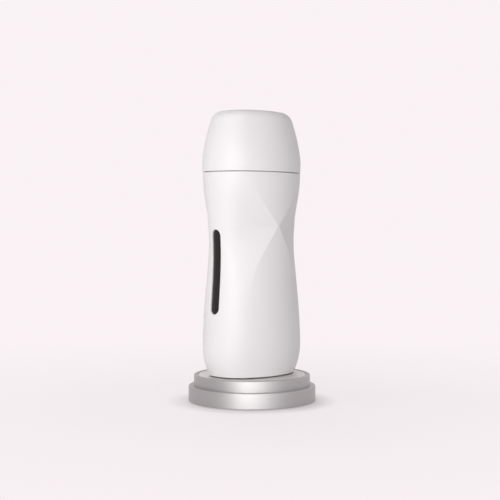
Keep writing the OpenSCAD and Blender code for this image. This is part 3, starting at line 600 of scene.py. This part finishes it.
def turned_grain(material, per_mm):
    """Rings round the Z axis, as a lathe tool leaves on faces and on sides."""
    place = add_node(material, "ShaderNodeTexCoord").outputs["Object"]
    parts = add_node(material, "ShaderNodeSeparateXYZ", Vector=place)
    flat = add_node(material, "ShaderNodeCombineXYZ", X=parts.outputs[0], Y=parts.outputs[1])
    radius = add_node(material, "ShaderNodeVectorMath", Vector=flat.outputs[0])
    radius.operation = "LENGTH"
    along = add_node(material, "ShaderNodeMath")
    along.operation = "ADD"
    links = material.node_tree.links
    links.new(radius.outputs["Value"], along.inputs[0])
    links.new(parts.outputs[2], along.inputs[1])
    noise = material.node_tree.nodes.new("ShaderNodeTexNoise")
    noise.noise_dimensions = "1D"
    links.new(along.outputs[0], noise.inputs["W"])
    noise.inputs["Scale"].default_value = per_mm * 1000
    noise.inputs["Detail"].default_value = 4
    return noise.outputs["Fac"]


def spread(material, factor, low, high):
    node = add_node(material, "ShaderNodeMapRange", Value=factor)
    node.inputs["From Min"].default_value, node.inputs["From Max"].default_value = 0.3, 0.7
    node.inputs["To Min"].default_value, node.inputs["To Max"].default_value = low, high
    return node.outputs["Result"]


def vary_gloss(material, factor, low, high):
    shader = material.node_tree.nodes["Principled BSDF"]
    material.node_tree.links.new(spread(material, factor, low, high), shader.inputs["Roughness"])


def vary_color(material, factor, other):
    shader = material.node_tree.nodes["Principled BSDF"]
    mix = material.node_tree.nodes.new("ShaderNodeMix")
    mix.data_type = "RGBA"
    mix.inputs["A"].default_value = shader.inputs["Base Color"].default_value
    mix.inputs["B"].default_value = (*other, 1)
    material.node_tree.links.new(spread(material, factor, 0, 1), mix.inputs["Factor"])
    material.node_tree.links.new(mix.outputs["Result"], shader.inputs["Base Color"])


def relief(material, factor, depth_mm):
    shader = material.node_tree.nodes["Principled BSDF"]
    bump = add_node(material, "ShaderNodeBump", Height=factor, Distance=depth_mm * MM, Strength=1.0)
    material.node_tree.links.new(bump.outputs[0], shader.inputs["Normal"])


# %% [markdown]
# ## White mouldings
#
# The housing and the cap are white plastic with a soft gloss. Up close such a moulding isn't
# perfectly even: its colour and its gloss drift a little over some centimetres, and the skin has a
# very fine grain. The inner pieces are the same plastic from a duller mould.

# %% White plastics
white = new_finish("white_polished", (0.885, 0.865, 0.876), 0.34, Specular_IOR_Level=0.22)
vary_color(white, grain(white, 0.015, 1), (0.89, 0.871, 0.882))
vary_gloss(white, grain(white, 0.03, 1), 0.33, 0.36)
relief(white, grain(white, 9, 2), 0.0003)

dull_white = new_finish("white_matt", (0.8, 0.785, 0.79), 0.5)
vary_color(dull_white, grain(dull_white, 0.05, 3), (0.83, 0.82, 0.825))
vary_gloss(dull_white, grain(dull_white, 1.2, 4), 0.42, 0.58)
relief(dull_white, grain(dull_white, 6, 4), 0.008)

frame_plastic = new_finish("frame_plastic", (0.84, 0.825, 0.8), 0.36)
vary_color(frame_plastic, grain(frame_plastic, 0.08, 3), (0.87, 0.86, 0.84))
vary_gloss(frame_plastic, grain(frame_plastic, 0.7, 4), 0.3, 0.44)
relief(frame_plastic, grain(frame_plastic, 3, 3), 0.005)

grey_key = new_finish("key_plastic", (0.56, 0.55, 0.565), 0.34)
vary_color(grey_key, grain(grey_key, 0.4, 3), (0.6, 0.59, 0.6))
vary_gloss(grey_key, grain(grey_key, 2, 4), 0.28, 0.4)
relief(grey_key, grain(grey_key, 5, 3), 0.004)
print("white plastics ready")

# %% [markdown]
# ## Turned metal
#
# The stand is satin metal. The lathe leaves very fine rings round its axis, on the flats and up
# the sides, which stretch every reflection along the axis. The pad let into the top is warmer and
# brighter, and partly a painted finish, so the heater's soft shadow shows on it.

# %% Stand metals
def brushed_round(material, amount):
    """Stretches the gloss across the rings that the lathe leaves round the Z axis."""
    around = add_node(material, "ShaderNodeTangent")
    around.direction_type, around.axis = "RADIAL", "Z"
    shader = material.node_tree.nodes["Principled BSDF"]
    material.node_tree.links.new(around.outputs[0], shader.inputs["Tangent"])
    shader.inputs["Anisotropic"].default_value = amount
    shader.inputs["Anisotropic Rotation"].default_value = 0.25


silver = new_finish("turned_silver", (0.405, 0.4, 0.398), 0.5, 1.0)
rings = turned_grain(silver, 4)
vary_color(silver, rings, (0.44, 0.434, 0.432))
vary_gloss(silver, rings, 0.46, 0.54)
relief(silver, turned_grain(silver, 9), 0.001)
brushed_round(silver, 0.5)

pad_metal = new_finish("pad_metal", (0.64, 0.62, 0.6), 0.46, 0.55)
vary_color(pad_metal, turned_grain(pad_metal, 3), (0.68, 0.66, 0.64))
vary_gloss(pad_metal, grain(pad_metal, 0.8, 4), 0.4, 0.52)
relief(pad_metal, turned_grain(pad_metal, 7), 0.001)
brushed_round(pad_metal, 0.4)

steel = new_finish("plated_steel", (0.48, 0.485, 0.49), 0.32, 1.0)
vary_color(steel, grain(steel, 1.5, 4), (0.56, 0.56, 0.565))
vary_gloss(steel, grain(steel, 4, 4), 0.26, 0.42)
relief(steel, turned_grain(steel, 12), 0.003)

chamber_metal = new_finish("drawn_aluminium", (0.68, 0.69, 0.7), 0.34, 1.0)
vary_color(chamber_metal, grain(chamber_metal, 2, 4, (1, 1, 0.05)), (0.74, 0.745, 0.75))
vary_gloss(chamber_metal, grain(chamber_metal, 3, 4, (1, 1, 0.04)), 0.28, 0.46)
relief(chamber_metal, grain(chamber_metal, 5, 3, (1, 1, 0.03)), 0.005)

brass = new_finish("plated_brass", (0.74, 0.62, 0.36), 0.26, 1.0)
vary_color(brass, grain(brass, 2.5, 4), (0.8, 0.7, 0.45))
vary_gloss(brass, grain(brass, 5, 4, (1, 0.1, 1)), 0.2, 0.36)
relief(brass, grain(brass, 8, 3, (1, 0.1, 1)), 0.002)
print("metals ready")

# %% [markdown]
# ## Dark, clear and inner pieces
#
# The window is smoky plastic with the gloss of glass. The bottle is clear and lets the amber wax
# show. The feet are rubber with the fine bloom of a mould, and the inner pieces get what they are
# made of: ceramic, fibreglass board, enamel and the sheath of each lead.

# %% Dark and clear finishes
smoke = new_finish("smoky_window", (0.012, 0.008, 0.0075), 0.1, Specular_IOR_Level=0.25)
vary_color(smoke, grain(smoke, 0.06, 2), (0.016, 0.011, 0.01))
vary_gloss(smoke, grain(smoke, 0.3, 3), 0.07, 0.13)
relief(smoke, grain(smoke, 0.1, 1), 0.002)

rubber = new_finish("dark_rubber", (0.03, 0.03, 0.031), 0.72)
vary_color(rubber, grain(rubber, 0.6, 4), (0.052, 0.051, 0.052))
vary_gloss(rubber, grain(rubber, 3, 4), 0.62, 0.85)
relief(rubber, grain(rubber, 5, 4), 0.02)

heat_plastic = new_finish("heat_plastic", (0.05, 0.048, 0.05), 0.48)
vary_color(heat_plastic, grain(heat_plastic, 0.5, 4), (0.07, 0.068, 0.07))
vary_gloss(heat_plastic, grain(heat_plastic, 4, 4), 0.4, 0.6)
relief(heat_plastic, grain(heat_plastic, 7, 4), 0.012)

clear_bottle = new_finish("clear_bottle", (0.96, 0.93, 0.88), 0.06,
                          IOR=1.45, Transmission_Weight=0.96)
vary_color(clear_bottle, grain(clear_bottle, 0.05, 2), (0.98, 0.96, 0.93))
vary_gloss(clear_bottle, grain(clear_bottle, 0.3, 3), 0.04, 0.1)
relief(clear_bottle, grain(clear_bottle, 0.25, 2), 0.004)

amber_wax = new_finish("amber_wax", (0.62, 0.27, 0.03), 0.2, Subsurface_Weight=0.4, Coat_Weight=0.3,
                       Subsurface_Radius=(0.004, 0.002, 0.0007))
vary_color(amber_wax, grain(amber_wax, 0.05, 5), (0.72, 0.36, 0.055))
vary_gloss(amber_wax, grain(amber_wax, 0.5, 4), 0.15, 0.32)
relief(amber_wax, grain(amber_wax, 0.35, 3), 0.03)

lamp_clear = new_finish("lamp_window", (0.85, 0.8, 0.78), 0.15,
                        Transmission_Weight=0.35, Coat_Weight=0.4)
vary_color(lamp_clear, grain(lamp_clear, 0.8, 3), (0.9, 0.86, 0.84))
vary_gloss(lamp_clear, grain(lamp_clear, 3, 3), 0.12, 0.22)
relief(lamp_clear, grain(lamp_clear, 2, 3), 0.006)
print("dark and clear finishes ready")


# %% Finishes inside
def inner_finish(name, color, other, low, high, per_mm=2.0, depth=0.01, stretch=(1, 1, 1)):
    material = new_finish(name, color, low)
    vary_color(material, grain(material, per_mm * 0.4, 4, stretch), other)
    vary_gloss(material, grain(material, per_mm, 4, stretch), low, high)
    relief(material, grain(material, per_mm * 2, 3, stretch), depth)
    return material


ceramic = inner_finish("ceramic", (0.8, 0.76, 0.66), (0.86, 0.83, 0.75), 0.6, 0.8, 3, 0.015)
board = inner_finish("board", (0.03, 0.17, 0.08), (0.045, 0.22, 0.11), 0.28, 0.45, 4, 0.006,
                     (1, 0.3, 1))
green_part = inner_finish("terminal_green", (0.07, 0.27, 0.15), (0.1, 0.33, 0.19), 0.35, 0.5)
yellow_part = inner_finish("capacitor_yellow", (0.66, 0.43, 0.08), (0.74, 0.52, 0.13), 0.15, 0.28,
                           1)
brown_part = inner_finish("resistor_brown", (0.3, 0.19, 0.11), (0.38, 0.26, 0.16), 0.35, 0.55,
                          3, 0.02)
red_lamp = inner_finish("lamp_red", (0.6, 0.07, 0.04), (0.7, 0.12, 0.07), 0.1, 0.2, 1, 0.004)
SHEATH_COLORS = (
    ("brown", (0.22, 0.08, 0.04), (0.28, 0.11, 0.06)),
    ("red", (0.52, 0.05, 0.03), (0.6, 0.09, 0.05)),
    ("white", (0.8, 0.77, 0.7), (0.86, 0.84, 0.78)),
    ("blue", (0.05, 0.12, 0.38), (0.08, 0.17, 0.46)))
sheaths = {color: inner_finish("sheath_" + color, base, other, 0.38, 0.55, 2, 0.008)
           for color, base, other in SHEATH_COLORS}
print("inner finishes ready")

# %% [markdown]
# ## Hand out the finishes
#
# Each piece made here and each solid that stays gets the finish of what it is made of.

# %% Which piece has which finish
FINISHED = (
    (white, (housing, cap, "outer_shell", "cap_shell")),
    (smoke, (lens, "window_lens")),
    (silver, (lower_tier, upper_tier, "stand_lower_tier", "stand_upper_tier")),
    (pad_metal, (pad, "stand_top_pad")),
    (grey_key, (button, "power_button")),
    (lamp_clear, (lamp, "indicator_lens")),
    (dull_white, ("top_collar", "base_cover", "cap_stop_ring", "switch_plunger")),
    (frame_plastic, ("roller_frame", "roller")),
    (rubber, ("stand_feet", "base_feet", "window_gasket")),
    (steel, ("stand_base_plate", "stand_screws", "base_screws", "board_screws", "heater_clips",
             "thermal_fuse", "roller_axle")),
    (chamber_metal, ("heating_chamber",)),
    (brass, ("inlet_pins",)),
    (heat_plastic, ("chamber_cradle", "mains_inlet", "switch_body")),
    (ceramic, ("heater_plate_front", "heater_plate_back", "thermostat")),
    (board, ("main_board", "control_board")),
    (green_part, ("terminal_block",)),
    (yellow_part, ("film_capacitor",)),
    (brown_part, ("drop_resistor",)),
    (red_lamp, ("indicator_led",)),
    (sheaths["brown"], ("supply_leads",)),
    (sheaths["red"], ("heater_leads",)),
    (sheaths["white"], ("sensor_leads",)),
    (sheaths["blue"], ("control_leads",)),
    (clear_bottle, ("cartridge_bottle",)),
    (amber_wax, ("wax_fill",)))
for material, members in FINISHED:
    for member in members:
        piece = nodes[member] if isinstance(member, str) else member
        piece.data.materials.clear()
        piece.data.materials.append(material)
done = [material for material, members in FINISHED]
bare = [name for name, piece in nodes.items() if piece.data.materials[0] not in done]
print("pieces without a finish:", bare)

# %% [markdown]
# ## Floor, light and camera
#
# The floor and the backdrop are plain and pale, and of one colour, so no edge shows between them.
# The rays that show a background, straight to the camera, in a gloss or through something clear,
# see that colour, and every other ray sees a dimmer fill. Near the stand the floor is mostly lit
# floor, which keeps the soft shadow, and further out it is more and more the plain colour. The lit
# floor is dimmer than the plain colour, so this also paints shade: a dark ring round the stand's
# foot, and a fainter darkening further out.
#
# The front lamp and the left lamp shape the body. The edge lamp and the back lamp are kept out of
# the gloss, where they would burn out the rims. A wide panel shows in the gloss only, and gives the
# bright band on the stand its long, soft ends.

# %% Rays that show the background
PALE = (0.955, 0.89, 0.913)


def shown_rays(tree):
    rays = tree.nodes.new("ShaderNodeLightPath")
    either = rays.outputs["Is Camera Ray"]
    for kind in ("Is Glossy Ray", "Is Transmission Ray"):
        node = tree.nodes.new("ShaderNodeMath")
        node.operation = "MAXIMUM"
        tree.links.new(either, node.inputs[0])
        tree.links.new(rays.outputs[kind], node.inputs[1])
        either = node.outputs[0]
    return either


def blend_of(tree, share, first, second, out_kind):
    blend = tree.nodes.new("ShaderNodeMixShader")
    out = tree.nodes.new(out_kind)
    for number, socket in enumerate((share, first.outputs[0], second.outputs[0])):
        tree.links.new(socket, blend.inputs[number])
    tree.links.new(blend.outputs[0], out.inputs[0])


# %% Floor
clear_selection()
bpy.ops.mesh.primitive_circle_add(vertices=96, radius=4, fill_type="NGON", location=(0, 0, 0))
floor = start_piece("floor")
floor_paint = bpy.data.materials.new("floor_paint")
floor_paint.use_nodes = True
tree = floor_paint.node_tree
tree.nodes.clear()
lit = tree.nodes.new("ShaderNodeBsdfDiffuse")
lit.inputs["Color"].default_value = (0.9, 0.85, 0.865, 1)
own = tree.nodes.new("ShaderNodeEmission")
own.inputs["Color"].default_value = (*PALE, 1)
place = add_node(floor_paint, "ShaderNodeTexCoord").outputs["Object"]
away = add_node(floor_paint, "ShaderNodeVectorMath", Vector=place)
away.operation = "LENGTH"
plain = tree.nodes.new("ShaderNodeValToRGB")
# Painted shade: from this stop to the next the floor is mostly the dimmer lit floor, which paints a
# dark ring round the stand's foot on top of its real shadow.
shade_ring_stop, far = plain.color_ramp.elements
shade_ring_stop.position, shade_ring_stop.color = 0.044, (0.35, 0.35, 0.35, 1)  # in metres from the stand's middle
far.position = 0.4
for reach, level in ((0.058, 0.82), (0.2, 0.92)):
    plain.color_ramp.elements.new(reach).color = (level, level, level, 1)
share = tree.nodes.new("ShaderNodeMath")
share.operation = "MULTIPLY"
tree.links.new(away.outputs["Value"], plain.inputs["Fac"])
tree.links.new(shown_rays(tree), share.inputs[0])
tree.links.new(plain.outputs["Color"], share.inputs[1])
blend_of(tree, share.outputs[0], lit, own, "ShaderNodeOutputMaterial")
floor.data.materials.append(floor_paint)

# %% Backdrop
world = bpy.data.worlds.new("studio")
bpy.context.scene.world = world
world.use_nodes = True
tree = world.node_tree
tree.nodes.clear()
fill = tree.nodes.new("ShaderNodeBackground")
fill.inputs["Color"].default_value = (1, 0.985, 0.99, 1)
fill.inputs["Strength"].default_value = 0.225
seen = tree.nodes.new("ShaderNodeBackground")
seen.inputs["Color"].default_value = (*PALE, 1)
blend_of(tree, shown_rays(tree), fill, seen, "ShaderNodeOutputWorld")
print("floor and backdrop ready")


# %% Lamps
def soft_lamp(name, place, aim, width, height, watts, in_gloss=True, on_matt=True):
    data = bpy.data.lights.new(name, "AREA")
    data.shape, data.size, data.size_y, data.energy = "RECTANGLE", width, height, watts
    lamp_object = bpy.data.objects.new(name, data)
    bpy.context.scene.collection.objects.link(lamp_object)
    lamp_object.location = place
    lamp_object.rotation_euler = (Vector(aim) - Vector(place)).to_track_quat("-Z", "Y").to_euler()
    lamp_object.visible_camera = False
    lamp_object.visible_glossy, lamp_object.visible_diffuse = in_gloss, on_matt


LOW, MIDDLE = (0, 0, 0.05), (0, 0, 0.1)
soft_lamp("front_lamp", (-1.1, -1.1, 0.38), LOW, 1.5, 0.6, 11.4)
soft_lamp("left_lamp", (-1.4, -0.7, 0.5), MIDDLE, 1.0, 0.7, 5.4)
soft_lamp("edge_lamp", (-1.1, 0.77, 0.6), MIDDLE, 0.9, 0.9, 4, in_gloss=False)
soft_lamp("back_lamp", (0.75, 1.1, 0.6), MIDDLE, 0.9, 0.9, 8.5, in_gloss=False)
soft_lamp("gloss_panel", (-1.35, -1.35, 0.35), LOW, 5, 0.8, 18, on_matt=False)
print("lamps ready")

# %% Camera
PHOTO_AZIMUTH, DISTANCE, HEIGHT = -45, 0.775, 0.1203
SENSOR_MM, LENS_MM, SHIFT_X, SHIFT_Y = 36, 81.9, -0.004, -0.052
turn = math.radians(PHOTO_AZIMUTH)
camera_data = bpy.data.cameras.new("photo_camera")
camera_data.sensor_width, camera_data.lens = SENSOR_MM, LENS_MM
camera_data.shift_x, camera_data.shift_y = SHIFT_X, SHIFT_Y
camera = bpy.data.objects.new("photo_camera", camera_data)
bpy.context.scene.collection.objects.link(camera)
camera.location = (math.sin(turn) * DISTANCE, -math.cos(turn) * DISTANCE, HEIGHT)
camera.rotation_euler = (math.radians(90), 0, turn)
bpy.context.scene.camera = camera
bpy.context.scene.view_settings.view_transform = "Standard"
print("camera at", [round(c, 4) for c in camera.location])
